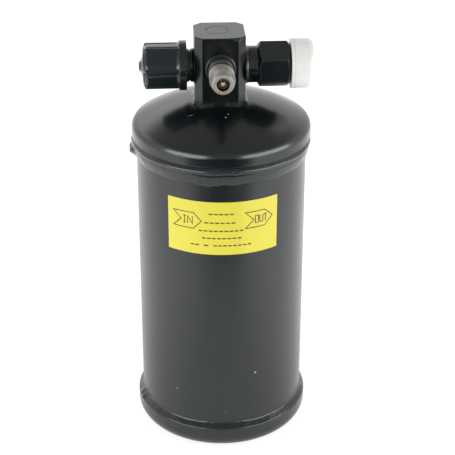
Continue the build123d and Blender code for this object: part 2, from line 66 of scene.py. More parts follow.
# ------------------------------------------------------------------ node tools
class Mat:
    """a node material, with one short call per node"""

    def __init__(self, name):
        self.m = bpy.data.materials.new(name)
        self.m.use_nodes = True
        self.t = self.m.node_tree
        self.t.nodes.clear()
        self.out = self.t.nodes.new("ShaderNodeOutputMaterial")
        self.bsdf = self.t.nodes.new("ShaderNodeBsdfPrincipled")
        self.t.links.new(self.bsdf.outputs[0], self.out.inputs[0])
        self.coord = self.t.nodes.new("ShaderNodeTexCoord").outputs["Object"]

    def link(self, a, b):
        self.t.links.new(a, b)

    def set(self, **kw):
        for k, v in kw.items():
            self.bsdf.inputs[k.replace("_", " ")].default_value = v

    def noise(self, scale, detail=2.0, rough=0.5, distortion=0.0, vec=None):
        n = self.t.nodes.new("ShaderNodeTexNoise")
        n.inputs["Scale"].default_value = scale
        n.inputs["Detail"].default_value = detail
        n.inputs["Roughness"].default_value = rough
        n.inputs["Distortion"].default_value = distortion
        self.link(vec or self.coord, n.inputs["Vector"])
        return n.outputs["Fac"]

    def voronoi(self, scale, feature="F1", out="Distance", vec=None, random=1.0):
        n = self.t.nodes.new("ShaderNodeTexVoronoi")
        n.feature = feature
        n.inputs["Scale"].default_value = scale
        n.inputs["Randomness"].default_value = random
        self.link(vec or self.coord, n.inputs["Vector"])
        return n.outputs[out]

    def wave(self, scale, axis="Z", distortion=0.0, detail=2.0, dscale=1.0, vec=None):
        n = self.t.nodes.new("ShaderNodeTexWave")
        n.wave_type = "BANDS"
        n.bands_direction = axis
        n.inputs["Scale"].default_value = scale
        n.inputs["Distortion"].default_value = distortion
        n.inputs["Detail"].default_value = detail
        n.inputs["Detail Scale"].default_value = dscale
        self.link(vec or self.coord, n.inputs["Vector"])
        return n.outputs["Fac"]

    def stretch(self, sx, sy, sz):
        n = self.t.nodes.new("ShaderNodeMapping")
        n.inputs["Scale"].default_value = (sx, sy, sz)
        self.link(self.coord, n.inputs["Vector"])
        return n.outputs[0]

    def ramp(self, fac, lo, hi, a=0.0, b=1.0, smooth=True):
        n = self.t.nodes.new("ShaderNodeMapRange")
        n.interpolation_type = "SMOOTHSTEP" if smooth else "LINEAR"
        n.inputs["From Min"].default_value = lo
        n.inputs["From Max"].default_value = hi
        n.inputs["To Min"].default_value = a
        n.inputs["To Max"].default_value = b
        self.link(fac, n.inputs["Value"])
        return n.outputs["Result"]

    def math(self, op, a, b=0.5, c=None):
        n = self.t.nodes.new("ShaderNodeMath")
        n.operation = op
        for i, v in enumerate((a, b, c)):
            if v is None:
                continue
            if isinstance(v, (int, float)):
                n.inputs[i].default_value = v
            else:
                self.link(v, n.inputs[i])
        return n.outputs[0]

    def mix(self, fac, a, b):
        n = self.t.nodes.new("ShaderNodeMix")
        n.data_type = "RGBA"
        for i, v in ((0, fac), (6, a), (7, b)):
            if isinstance(v, (tuple, list)):
                n.inputs[i].default_value = (*v[:3], 1.0)
            elif isinstance(v, (int, float)):
                n.inputs[i].default_value = v
            else:
                self.link(v, n.inputs[i])
        return n.outputs[2]

    def axis(self, which):
        n = self.t.nodes.new("ShaderNodeSeparateXYZ")
        self.link(self.coord, n.inputs[0])
        return n.outputs["XYZ".index(which)]

    def near(self, x, y, z, r0, r1, squash=None):
        """1 within r0 of a point (mm), falling to 0 at r1"""
        src = self.coord
        p = (x * MM, y * MM, z * MM)
        d = self.t.nodes.new("ShaderNodeVectorMath")
        d.operation = "SUBTRACT"
        self.link(src, d.inputs[0])
        d.inputs[1].default_value = p
        v = d.outputs[0]
        if squash:
            s = self.t.nodes.new("ShaderNodeVectorMath")
            s.operation = "MULTIPLY"
            self.link(v, s.inputs[0])
            s.inputs[1].default_value = squash
            v = s.outputs[0]
        n = self.t.nodes.new("ShaderNodeVectorMath")
        n.operation = "LENGTH"
        self.link(v, n.inputs[0])
        return self.ramp(n.outputs["Value"], r0 * MM, r1 * MM, 1.0, 0.0)

    def edges(self, radius, samples=6):
        """1 on convex or concave edges, 0 on open faces, and the rounded normal"""
        b = self.t.nodes.new("ShaderNodeBevel")
        b.samples = samples
        b.inputs["Radius"].default_value = radius
        g = self.t.nodes.new("ShaderNodeNewGeometry")
        d = self.t.nodes.new("ShaderNodeVectorMath")
        d.operation = "DOT_PRODUCT"
        self.link(b.outputs[0], d.inputs[0])
        self.link(g.outputs["Normal"], d.inputs[1])
        return self.ramp(d.outputs["Value"], 0.985, 0.86), b.outputs[0]

    def bump(self, height, strength, distance, normal=None):
        n = self.t.nodes.new("ShaderNodeBump")
        n.inputs["Strength"].default_value = strength
        n.inputs["Distance"].default_value = distance
        self.link(height, n.inputs["Height"])
        if normal is not None:
            self.link(normal, n.inputs["Normal"])
        return n.outputs[0]

    def to(self, socket, value):
        self.link(value, self.bsdf.inputs[socket])


# ------------------------------------------------------------------ materials
def paint(name, rough=0.27, tone=1.0, peel=1.0, wear=0.25, marks=(), dust=1.0, bevel=0.00025, smudge=None, ring=None):
    """black stoved paint over steel: orange peel, dust nibs, dull patches, rubbed edges"""
    m = Mat(name)
    m.set(IOR=1.56, Specular_Tint=(0.955, 0.985, 1.0, 1.0))
    broad = m.noise(55.0, 3.0, 0.55)
    streak = m.noise(1.0, 3.0, 0.5, vec=m.stretch(140.0, 140.0, 26.0))
    base = m.mix(broad, (0.0022 * tone, 0.0038 * tone, 0.0046 * tone), (0.0042 * tone, 0.0062 * tone, 0.0072 * tone))
    edge, normal = m.edges(bevel)
    rub = m.math("MULTIPLY", edge, m.ramp(m.noise(420.0, 4.0, 0.65), 0.50, 0.72))
    rub = m.math("MULTIPLY", rub, wear)
    base = m.mix(rub, base, (0.16, 0.165, 0.17))
    # dust nibs and pale specks
    cells = m.voronoi(330.0)
    pick = m.voronoi(330.0, out="Color")
    sep = m.t.nodes.new("ShaderNodeSeparateColor")
    m.link(pick, sep.inputs[0])
    rare = m.ramp(sep.outputs[0], 0.985, 0.992)
    nib = m.math("MULTIPLY", rare, m.ramp(cells, 0.085, 0.045))
    nib = m.math("MULTIPLY", nib, dust)
    base = m.mix(m.math("MULTIPLY", nib, 0.5), base, (0.12, 0.13, 0.14))
    for (x, y, z, r, colour, squash) in marks:
        base = m.mix(m.near(x, y, z, r * 0.6, r * 1.35, squash), base, colour)
    if smudge is not None:
        (x, y, z, r0, r1, amount) = smudge
        zone = m.near(x, y, z, r0, r1)
        blot = m.math("MULTIPLY", zone, m.ramp(m.noise(900.0, 3.0, 0.6), 0.46, 0.56))
        base = m.mix(m.math("MULTIPLY", blot, amount), base, (0.001, 0.001, 0.001))
    if ring is not None:
        # a band round the neck of the valve where the paint is rubbed thin
        (y0, y1, amount) = ring
        y = m.axis("Y")
        band = m.math("MULTIPLY", m.ramp(y, y0 - 0.0002, y0 + 0.0002), m.ramp(y, y1 - 0.0003, y1 + 0.0003, 1.0, 0.0))
        band = m.math("MULTIPLY", band, m.ramp(m.noise(700.0, 3.0, 0.6), 0.34, 0.58, 0.45, 1.0))
        base = m.mix(m.math("MULTIPLY", band, amount), base, (0.115, 0.112, 0.108))
    m.to("Base Color", base)
    fine = m.noise(2600.0, 2.0, 0.6)
    rr = m.math("ADD", m.math("MULTIPLY", m.math("SUBTRACT", broad, 0.5), 0.10), rough)
    rr = m.math("ADD", rr, m.math("MULTIPLY", m.math("SUBTRACT", streak, 0.5), 0.06))
    rr = m.math("ADD", rr, m.math("MULTIPLY", m.math("SUBTRACT", fine, 0.5), 0.06))
    m.to("Roughness", rr)
    peel_h = m.math("ADD", m.noise(520.0, 2.0, 0.45), m.math("MULTIPLY", m.noise(1500.0, 1.0, 0.5), 0.25))
    peel_h = m.math("ADD", peel_h, m.math("MULTIPLY", nib, 2.0))
    m.to("Normal", m.bump(peel_h, 0.35 * peel, 0.00006, normal))
    return m.m


def metal(name, a, b, rough=0.3, grime=0.3, brushed=None, bevel=0.00012, grime_colour=(0.03, 0.028, 0.025), low=None):
    """turned or drawn metal with fine machining marks, dull patches and patchy grime"""
    m = Mat(name)
    m.set(Metallic=1.0)
    broad = m.noise(300.0, 4.0, 0.6)
    base = m.mix(broad, a, b)
    edge, normal = m.edges(bevel, 4)
    base = m.mix(m.math("MULTIPLY", edge, 0.35), base, tuple(min(1.0, c * 1.25) for c in a))
    dirt = m.math("MULTIPLY", m.ramp(m.noise(750.0, 5.0, 0.7), 0.52, 0.70), grime)
    base = m.mix(dirt, base, grime_colour)
    if low is not None:
        # darker and browner towards its under side
        underside_tint = m.math("MULTIPLY", m.ramp(m.axis("Z"), low[0] * MM, low[1] * MM), m.ramp(m.noise(420.0, 3.0, 0.6), 0.35, 0.65, 0.35, 1.0))
        base = m.mix(underside_tint, base, low[2])
    m.to("Base Color", base)
    fine = m.noise(5200.0, 3.0, 0.6)
    rr = m.math("ADD", m.math("MULTIPLY", m.math("SUBTRACT", broad, 0.5), 0.22), rough)
    rr = m.math("ADD", rr, m.math("MULTIPLY", dirt, 0.4))
    m.to("Roughness", rr)
    if brushed:
        marks = m.noise(1.0, 2.0, 0.6, vec=m.stretch(*brushed))
        fine = m.math("ADD", fine, m.math("MULTIPLY", marks, 1.4))
    m.to("Normal", m.bump(fine, 0.35, 0.00002, normal))
    return m.m


def plastic(name, a, b, rough, bump=0.2, edge_tint=None, ior=1.5, scale=90.0, bevel=0.0002):
    """moulded plastic: faint flow marks, satin mould texture, scuffed edges"""
    m = Mat(name)
    m.set(IOR=ior)
    broad = m.noise(scale, 3.0, 0.5)
    base = m.mix(broad, a, b)
    edge, normal = m.edges(bevel)
    scuff = m.math("MULTIPLY", edge, m.ramp(m.noise(650.0, 4.0, 0.65), 0.45, 0.7))
    if edge_tint:
        base = m.mix(m.math("MULTIPLY", scuff, 0.5), base, edge_tint)
    m.to("Base Color", base)
    grain = m.noise(3400.0, 2.0, 0.6)
    rr = m.math("ADD", m.math("MULTIPLY", m.math("SUBTRACT", broad, 0.5), 0.16), rough)
    rr = m.math("ADD", rr, m.math("MULTIPLY", m.math("SUBTRACT", grain, 0.5), 0.12))
    m.to("Roughness", rr)
    flow = m.noise(260.0, 2.0, 0.5)
    m.to("Normal", m.bump(m.math("ADD", flow, m.math("MULTIPLY", grain, 0.25)), bump, 0.00008, normal))
    return m


GREY_SPECK = (0.20, 0.21, 0.22)
mat_shell = paint("paint_shell", rough=0.27, peel=0.6, wear=0.1, marks=(
    (-22.26, -30.92, 28.65, 0.50, (0.14, 0.135, 0.12), None),
    (13.67, -35.56, 39.18, 0.50, (0.34, 0.35, 0.36), None),
    (-0.05, -38.10, 19.13, 0.40, (0.10, 0.10, 0.10), None),
))
mat_caps = paint("paint_caps", rough=0.22, peel=0.8, wear=0.3, marks=(
    (0.90, -20.16, 159.98, 0.38, (0.45, 0.46, 0.47), None),
    (2.02, -17.97, 160.54, 0.30, (0.40, 0.41, 0.42), None),
    (-14.10, -16.23, 159.59, 0.75, (0.22, 0.23, 0.24), (0.55, 3.2, 2.0)),
))
mat_weld = paint("paint_weld", rough=0.24, peel=1.4, wear=0.2, dust=0.6, marks=(
    (-35.99, -12.50, 136.52, 0.45, (0.0, 0.0, 0.0), None),
))
mat_head = paint("paint_head", rough=0.23, tone=0.75, peel=1.1, wear=0.5, bevel=0.0003,
                 smudge=(-8.7, 0.6, 192.4, 1.2, 2.6, 0.9),
                 marks=((5.0, 1.6, 192.4, 0.45, (0.002, 0.002, 0.002), None),))
mat_fitting = paint("paint_fittings", rough=0.24, peel=1.0, wear=0.45)
mat_valve_paint = paint("paint_valve", rough=0.30, peel=1.0, wear=0.6, ring=(-0.0193, -0.0163, 0.75))
mat_plated = metal("plated_steel", (0.40, 0.385, 0.355), (0.25, 0.24, 0.22), rough=0.48, grime=0.55, low=(VALVE_Z - 1.0, VALVE_Z - 4.5, (0.26, 0.225, 0.14)))


def pin_metal():
    """depressor pin: rubbed bright on its end face, dull brown brass below"""
    m = Mat("pin_steel")
    m.set(Metallic=1.0)
    y = m.axis("Y")
    end = m.ramp(y, -0.0305, -0.0309)
    broad = m.noise(900.0, 3.0, 0.6)
    dull = m.mix(broad, (0.10, 0.07, 0.045), (0.19, 0.14, 0.09))
    m.to("Base Color", m.mix(end, dull, (0.40, 0.37, 0.34)))
    m.to("Roughness", m.ramp(broad, 0.2, 0.8, 0.42, 0.58))
    m.to("Normal", m.bump(m.noise(5200.0, 3.0, 0.6), 0.3, 0.00002))
    return m.m


mat_pin = pin_metal()
mat_brass = metal("brass", (0.20, 0.145, 0.085), (0.11, 0.078, 0.045), rough=0.42, grime=0.6,
                  grime_colour=(0.02, 0.013, 0.008))
mat_bore = metal("valve_bore", (0.12, 0.10, 0.075), (0.06, 0.05, 0.035), rough=0.5, grime=0.5)
mat_steel_in = metal("inner_steel", (0.42, 0.42, 0.42), (0.30, 0.30, 0.30), rough=0.45, grime=0.25)
mat_tube = metal("tube_steel", (0.55, 0.55, 0.54), (0.42, 0.42, 0.42), rough=0.33, grime=0.15,
                 brushed=(900.0, 900.0, 12.0))

bp = plastic("black_plastic", (0.0050, 0.0080, 0.0092), (0.0080, 0.0118, 0.0132), 0.22, bump=0.25,
             edge_tint=(0.05, 0.052, 0.055))
bp.set(Specular_Tint=(0.955, 0.985, 1.0, 1.0))
mat_black_plastic = bp.m

np_ = plastic("natural_plastic", (0.90, 0.885, 0.86), (0.85, 0.835, 0.80), 0.38, bump=0.3, ior=1.5, scale=140.0,
              edge_tint=(0.95, 0.95, 0.95))
np_.set(Subsurface_Weight=0.55, Subsurface_Scale=0.004)
np_.bsdf.inputs["Subsurface Radius"].default_value = (1.0, 0.95, 0.85)
mat_natural = np_.m

lb = plastic("label_film", (0.83, 0.735, 0.062), (0.79, 0.70, 0.055), 0.42, bump=0.12, scale=60.0, bevel=0.00008)
mat_label = lb.m
ink = plastic("label_ink", (0.075, 0.058, 0.010), (0.050, 0.040, 0.008), 0.45, bump=0.1, scale=900.0, bevel=0.00002)
mat_ink = ink.m

rb = plastic("rubber", (0.012, 0.012, 0.012), (0.022, 0.021, 0.020), 0.6, bump=0.4, scale=300.0)
mat_rubber = rb.m


def fibre():
    m = Mat("felt")
    tangle = m.noise(1.0, 6.0, 0.75, 1.5, vec=m.stretch(900.0, 900.0, 2600.0))
    tone = m.noise(120.0, 3.0, 0.6)
    m.to("Base Color", m.mix(m.math("MULTIPLY", m.math("ADD", tangle, tone), 0.5), (0.62, 0.60, 0.54), (0.86, 0.84, 0.78)))
    m.set(Roughness=0.95, IOR=1.4)
    m.bsdf.inputs["Sheen Weight"].default_value = 0.4
    m.to("Normal", m.bump(tangle, 0.9, 0.0004))
    return m.m


def beads():
    m = Mat("sieve_beads")
    d = m.voronoi(520.0, random=0.7)
    tint = m.voronoi(520.0, out="Color", random=0.7)
    sep = m.t.nodes.new("ShaderNodeSeparateColor")
    m.link(tint, sep.inputs[0])
    col = m.mix(sep.outputs[0], (0.52, 0.44, 0.34), (0.70, 0.63, 0.52))
    # dark towards the edge of each cell: painted shade in the gaps between the beads
    col = m.mix(m.ramp(d, 0.35, 0.62), col, (0.10, 0.08, 0.06))
    m.to("Base Color", col)
    m.to("Roughness", m.ramp(d, 0.0, 0.6, 0.55, 0.9))
    m.to("Normal", m.bump(m.ramp(d, 0.0, 0.62, 1.0, 0.0), 1.0, 0.0009))
    return m.m


mat_felt = fibre()
mat_beads = beads()

NODE_MATERIALS = {
    "shell_body": mat_shell, "bottom_cap": mat_caps, "top_cap": mat_caps, "bottom_seam_weld": mat_weld,
    "top_seam_weld": mat_weld, "head_block": mat_head, "head_plug": mat_head, "head_block_weld": mat_weld,
    "inlet_fitting": mat_fitting, "inlet_braze_ring": mat_fitting, "outlet_fitting": mat_fitting,
    "outlet_braze_ring": mat_fitting, "service_valve_body": mat_plated, "valve_core_body": mat_brass,
    "valve_core_seal": mat_rubber, "valve_core_pin": mat_pin, "valve_plunger_seal": mat_rubber,
    "valve_core_spring": mat_steel_in, "inlet_cap": mat_black_plastic, "inlet_cap_seal": mat_rubber,
    "outlet_cap": mat_natural, "label": mat_label, "pickup_tube": mat_tube, "pickup_strainer": mat_steel_in,
    "lower_perforated_plate": mat_steel_in, "lower_filter_pad": mat_felt, "desiccant_bed": mat_beads,
    "upper_filter_pad": mat_felt, "upper_perforated_plate": mat_steel_in, "bed_spring": mat_steel_in,
}
for node_name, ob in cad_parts.items():
    ob.data.materials.clear()
    ob.data.materials.append(NODE_MATERIALS[node_name])


# ------------------------------------------------------------------ mesh tools
def make_object(name, verts, faces, materials, face_mats=None, weighted=True, auto=False):
    me = bpy.data.meshes.new(name)
    me.from_pydata([(v[0] * MM, v[1] * MM, v[2] * MM) for v in verts], [], faces)
    bm = bmesh.new()
    bm.from_mesh(me)
    bmesh.ops.recalc_face_normals(bm, faces=bm.faces)
    bm.to_mesh(me)
    bm.free()
    for mt in materials:
        me.materials.append(mt)
    me.polygons.foreach_set("use_smooth", [True] * len(me.polygons))
    if face_mats is not None:
        me.polygons.foreach_set("material_index", face_mats)
    me.update()
    ob = bpy.data.objects.new(name, me)
    scene.collection.objects.link(ob)
    if weighted:
        w = ob.modifiers.new("normals", "WEIGHTED_NORMAL")
        w.mode = "FACE_AREA"
        w.weight = 60
        w.keep_sharp = False
    return ob


def rounded(points, seg=4):
    """a polyline with its corners rounded: points are (s, r) or (s, r, fillet)"""
    out = []
    n = len(points)
    for i, p in enumerate(points):
        f = p[2] if len(p) > 2 else 0.0
        if f <= 0 or i == 0 or i == n - 1:
            out.append((p[0], p[1]))
            continue
        a, b, c = np.array(points[i - 1][:2]), np.array(p[:2]), np.array(points[i + 1][:2])
        u, v = a - b, c - b
        lu, lv = np.linalg.norm(u), np.linalg.norm(v)
        u, v = u / lu, v / lv
        cosang = float(np.clip(u @ v, -1, 1))
        half = math.acos(cosang) / 2
        if half > math.pi / 2 - 0.02:
            out.append((p[0], p[1]))
            continue
        t = min(f / math.tan(half), lu * 0.49, lv * 0.49)
        rad = t * math.tan(half)
        centre = b + (u + v) / np.linalg.norm(u + v) * (rad / math.sin(half))
        p0, p1 = b + u * t, b + v * t
        a0 = math.atan2(*(p0 - centre)[::-1])
        a1 = math.atan2(*(p1 - centre)[::-1])
        d = (a1 - a0 + math.pi) % (2 * math.pi) - math.pi
        for k in range(seg + 1):
            ang = a0 + d * k / seg
            out.append((centre[0] + rad * math.cos(ang), centre[1] + rad * math.sin(ang)))
    return out


def refine(stations, s0, s1, step):
    """more stations on the straight runs between s0 and s1"""
    out = [stations[0]]
    for a, b in zip(stations, stations[1:]):
        lo, hi = min(a[0], b[0]), max(a[0], b[0])
        length = math.hypot(b[0] - a[0], b[1] - a[1])
        if lo >= s0 - 1e-6 and hi <= s1 + 1e-6 and length > step * 1.01:
            n = int(math.ceil(length / step))
            for k in range(1, n):
                out.append((a[0] + (b[0] - a[0]) * k / n, a[1] + (b[1] - a[1]) * k / n))
        out.append(b)
    return out


def place(kind, s, r, a):
    """a point of a piece turned about one of the three port axes: s along it, r out from it"""
    c, q = math.cos(a), math.sin(a)
    if kind == "inlet":
        return (BX - s, -r * c, PORT_Z + r * q)
    if kind == "outlet":
        return (BX + s, r * c, PORT_Z + r * q)
    if kind == "valve":
        return (BX + r * c, -s, VALVE_Z + r * q)
    return (r * c, r * q, s)      # "can": s is the height


def turned(name, kind, stations, n, materials, radial=None, mat_of=None, closed=True, angles=None):
    """revolves stations (s, r), radius changed by radial(i, s, r, a); the profile closes on itself or ends on the axis"""
    if angles is None:
        angles = [2 * math.pi * k / n for k in range(n)]
    n = len(angles)
    verts, rings = [], []
    for i, (s, r) in enumerate(stations):
        if r < 1e-6:
            rings.append([len(verts)])
            verts.append(place(kind, s, 0.0, 0.0))
            continue
        ring = []
        for a in angles:
            rr, ss = (r, s) if radial is None else radial(i, s, r, a)
            ring.append(len(verts))
            verts.append(place(kind, ss, rr, a))
        rings.append(ring)
    faces, fm = [], []
    pairs = list(zip(range(len(rings) - 1), range(1, len(rings))))
    if closed and len(rings[0]) > 1 and len(rings[-1]) > 1:
        pairs.append((len(rings) - 1, 0))
    for i, j in pairs:
        A, B = rings[i], rings[j]
        mi = 0 if mat_of is None else mat_of((stations[i][0] + stations[j][0]) / 2, (stations[i][1] + stations[j][1]) / 2)
        if len(A) == 1 and len(B) == 1:
            continue
        for k in range(n):
            k2 = (k + 1) % n
            if len(A) == 1:
                faces.append((A[0], B[k], B[k2]))
            elif len(B) == 1:
                faces.append((A[k2], A[k], B[0]))
            else:
                faces.append((A[k], A[k2], B[k2], B[k]))
            fm.append(mi)
    return make_object(name, verts, faces, materials, fm)


def thread_cut(s, a, pitch, depth, s0, s1, run=0.9, inside=False):
    """how much a V thread takes off at s and angle a; it fades in and out over run pitches"""
    phase = (s / pitch - a / (2 * math.pi)) % 1.0
    t = abs(2 * phase - 1)                     # 1 at the crest, 0 at the root
    shape = min(1.0, max(0.0, (t - 0.10) / 0.78))
    fade = min(1.0, max(0.0, (s - s0) / (run * pitch))) * min(1.0, max(0.0, (s1 - s) / (run * pitch)))
    cut = shape if inside else 1.0 - shape
    return depth * cut * fade


def smax(a, b, k):
    h = max(k - abs(a - b), 0.0) / k
    return max(a, b) + h * h * k * 0.25


def smin(a, b, k):
    h = max(k - abs(a - b), 0.0) / k
    return min(a, b) - h * h * k * 0.25


def fbm(x, y, z, seed=0.0, octaves=3):
    v, amp, f = 0.0, 1.0, 1.0
    for _ in range(octaves):
        v += amp * noise.noise(Vector((x * f + seed, y * f - seed * 0.7, z * f + seed * 1.3)))
        amp *= 0.5
        f *= 2.03
    return v


def on_can(piece, body, slot, *nodes):
    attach(piece, body)
    if nodes:
        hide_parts(*nodes)
    return piece


# ------------------------------------------------------------------ seam welds
def bead_weld(name, node, rim, toe, profile, wave, ripple, seed, lumps=(), n=720, soften=4, wander=0.0, rmax=None):
    """a run of weld round the can: profile is (share of the way from rim to toe, radius)"""
    prof = profile
    steps = 60
    ts = [k / steps for k in range(steps + 1)]
    pr = [float(np.interp(t, [p[0] for p in prof], [p[1] for p in prof])) for t in ts]
    # smooth the radius a little along the profile
    for _ in range(soften):
        pr = [pr[0]] + [(pr[i - 1] + 2 * pr[i] + pr[i + 1]) / 4 for i in range(1, steps)] + [pr[-1]]
    stations = [(t, r) for t, r in zip(ts, pr)]
    verts, rings = [], []
    for k in range(n):
        a = 2 * math.pi * k / n
        ca, sa = math.cos(a), math.sin(a)
        w = fbm(ca * 4.2, sa * 4.2, 0.0, seed, 3) * wave + fbm(ca * 14.0, sa * 14.0, 3.0, seed + 5, 2) * wave * 0.35
        drift = wander * (fbm(ca * 7.0, sa * 7.0, 1.0, seed + 7, 2) + 0.6 * fbm(ca * 26.0, sa * 26.0, 5.0, seed + 8, 2))
        ring = []
        # inner line first, just inside the tube's wall
        z_toe = toe + w
        for t, r in stations:
            z = rim + (z_toe - rim) * t
            body = math.sin(math.pi * min(1.0, t * 1.02)) ** 0.6
            rip = ripple * body * (
                fbm(ca * SHELL_R / 2.2, sa * SHELL_R / 2.2, z / 2.2, seed + 9, 3)
                + 0.12 * math.sin(a * 190 + 2.2 * fbm(ca * 5, sa * 5, z / 4, seed + 2, 2)) * (0.3 + 0.7 * t))
            if wander:
                r = float(np.interp(t + drift * max(0.0, 1.0 - abs(t - 0.25) / 0.25), ts, pr))
            rr = r + rip
            for la, lz, height, width in lumps:
                da = (a - math.radians(la) + math.pi) % (2 * math.pi) - math.pi
                d2 = ((da * SHELL_R) ** 2 + (z - lz) ** 2) / width ** 2
                rr += height * math.exp(-d2 * 1.4) * (1 + 0.25 * fbm(ca * 20, sa * 20, z / 1.5, seed + 3, 2))
            if t > 0.985:
                rr = SHELL_R - 0.08
            rr = max(rr, SHELL_R - 0.12)
            if rmax:
                rr = min(rr, rmax)
            ring.append(len(verts))
            verts.append((rr * ca, rr * sa, z))
        # back along the tube, closed
        for t in (0.97, 0.5, 0.0):
            z = rim + (z_toe - rim) * t
            ring.append(len(verts))
            verts.append(((SHELL_R - 0.12) * ca, (SHELL_R - 0.12) * sa, z))
        rings.append(ring)
    m = len(rings[0])
    faces = []
    for k in range(n):
        A, B = rings[k], rings[(k + 1) % n]
        for i in range(m):
            j = (i + 1) % m
            faces.append((A[i], A[j], B[j], B[i]))
    ob = make_object(name, verts, faces, [mat_weld], weighted=False)
    return on_can(ob, "canister", "black_paint", node)


bead_weld("top_seam_weld_bead", "top_seam_weld", 144.6, 135.6,
          [(0.0, 38.9), (0.10, 39.55), (0.165, 40.0), (0.20, 40.13), (0.24, 40.14), (0.30, 40.02), (0.33, 39.76), (0.36, 39.70),
           (0.45, 39.72), (0.55, 39.58), (0.72, 39.2), (0.90, 38.75), (0.955, 38.5), (1.0, 38.0)],
          wave=0.75, ripple=0.055, seed=11.3, soften=1, wander=0.035,
          lumps=((176.5, 137.8, 1.9, 2.6), (180.8, 137.0, 2.3, 2.3), (185.0, 138.2, 1.6, 2.4), (179.0, 141.4, 0.7, 2.0)),
          rmax=41.4)
bead_weld("bottom_seam_weld_bead", "bottom_seam_weld", 9.9, 14.75,
          [(0.0, 40.18), (0.03, 40.24), (0.225, 40.24), (0.262, 40.16), (0.67, 38.30), (0.735, 38.17), (0.80, 38.10), (0.90, 38.06), (1.0, 38.04)],
          wave=0.42, ripple=0.03, seed=4.7, soften=1,
          lumps=((191.0, 12.6, 0.9, 2.0), (196.0, 12.0, 0.7, 1.6)), rmax=40.9)


# weld round the foot of the head block, following the crown of the cap
def block_foot_weld():
    crown_r, crown_z = 73.6, 89.2
    half, cham = 11.1, 3.2

    def outline(off):
        # chamfered square, walked in equal steps, with its normals smoothed round the corners
        h = half
        corner = [(h, -h + cham), (h, h - cham), (h - cham, h), (-h + cham, h), (-h, h - cham), (-h, -h + cham),
                  (-h + cham, -h), (h - cham, -h)]
        pts = []
        for i in range(8):
            a, b = np.array(corner[i]), np.array(corner[(i + 1) % 8])
            m = max(2, int(round(np.linalg.norm(b - a) / 0.45)))
            d = (b - a) / np.linalg.norm(b - a)
            nrm = np.array((d[1], -d[0]))
            for k in range(m):
                pts.append((a + (b - a) * k / m, nrm))
        out = []
        cnt = len(pts)
        for i in range(cnt):
            n0 = pts[(i - 1) % cnt][1] + pts[i][1] * 2 + pts[(i + 1) % cnt][1]
            n0 = n0 / np.linalg.norm(n0)
            out.append((pts[i][0], n0))
        return out

    line = outline(0)
    count = len(line)
    rows = 12
    verts, rings = [], []
    for i, (p, nrm) in enumerate(line):
        ring = []
        u = i / count * 2 * math.pi
        leg = 1.45 + 0.22 * fbm(math.cos(u) * 5, math.sin(u) * 5, 1.0, 21.0, 3)
        high = 1.40 + 0.22 * fbm(math.cos(u) * 6, math.sin(u) * 6, 4.0, 33.0, 3)
        for k in range(rows + 1):
            t = k / rows                      # 0 on the block, 1 on the crown
            out = -0.10 + (leg + 0.10) * t
            x, y = BX + p[0] + nrm[0] * out, p[1] + nrm[1] * out
            crown = crown_z + math.sqrt(max(0.0, crown_r ** 2 - x * x - y * y))
            rise = high * (1 - t) ** 1.35
            lump = 0.10 * fbm(x / 1.1, y / 1.1, 2.0, 8.0, 3) * math.sin(math.pi * min(1, t * 1.05))
            z = crown + rise + lump
            if k == rows:
                z = crown - 0.15
            ring.append(len(verts))
            verts.append((x, y, z))
        # underside, a little inside the cap
        for out in (leg, -0.10):
            x, y = BX + p[0] + nrm[0] * out, p[1] + nrm[1] * out
            crown = crown_z + math.sqrt(max(0.0, crown_r ** 2 - x * x - y * y))
            ring.append(len(verts))
            verts.append((x, y, crown - 0.35))
        rings.append(ring)
    m = len(rings[0])
    faces = []
    for k in range(count):
        A, B = rings[k], rings[(k + 1) % count]
        for i in range(m):
            j = (i + 1) % m
            faces.append((A[i], A[j], B[j], B[i]))
    ob = make_object("head_block_weld_bead", verts, faces, [mat_weld], weighted=False)
    return on_can(ob, "canister", "black_paint", "head_block_weld")


block_foot_weld()


# ------------------------------------------------------------------ inlet side
def inlet_fitting():
    prof = rounded([(8.1, 3.6), (8.1, 6.0), (11.1, 6.0), (11.1, 7.25), (12.5, 7.25, 0.12), (12.72, 6.8, 0.08), (13.28, 6.8, 0.08),
                    (13.5, 7.25, 0.12), (14.6, 7.25, 0.15), (15.3, 7.94, 0.1), (28.4, 7.94, 0.1), (29.0, 7.3, 0.1),
                    (31.3, 5.0, 0.15), (31.3, 3.6)])
    prof = refine(prof, 15.25, 28.45, PITCH_58 / 9)

    def radial(i, s, r, a):
        if r > 7.9:
            return r - thread_cut(s, a, PITCH_58, 0.78, 15.2, 29.0), s
        return r, s
    ob = turned("inlet_fitting_turned", "inlet", prof, 144, [mat_fitting], radial)
    return on_can(ob, "canister", "black_paint", "inlet_fitting")


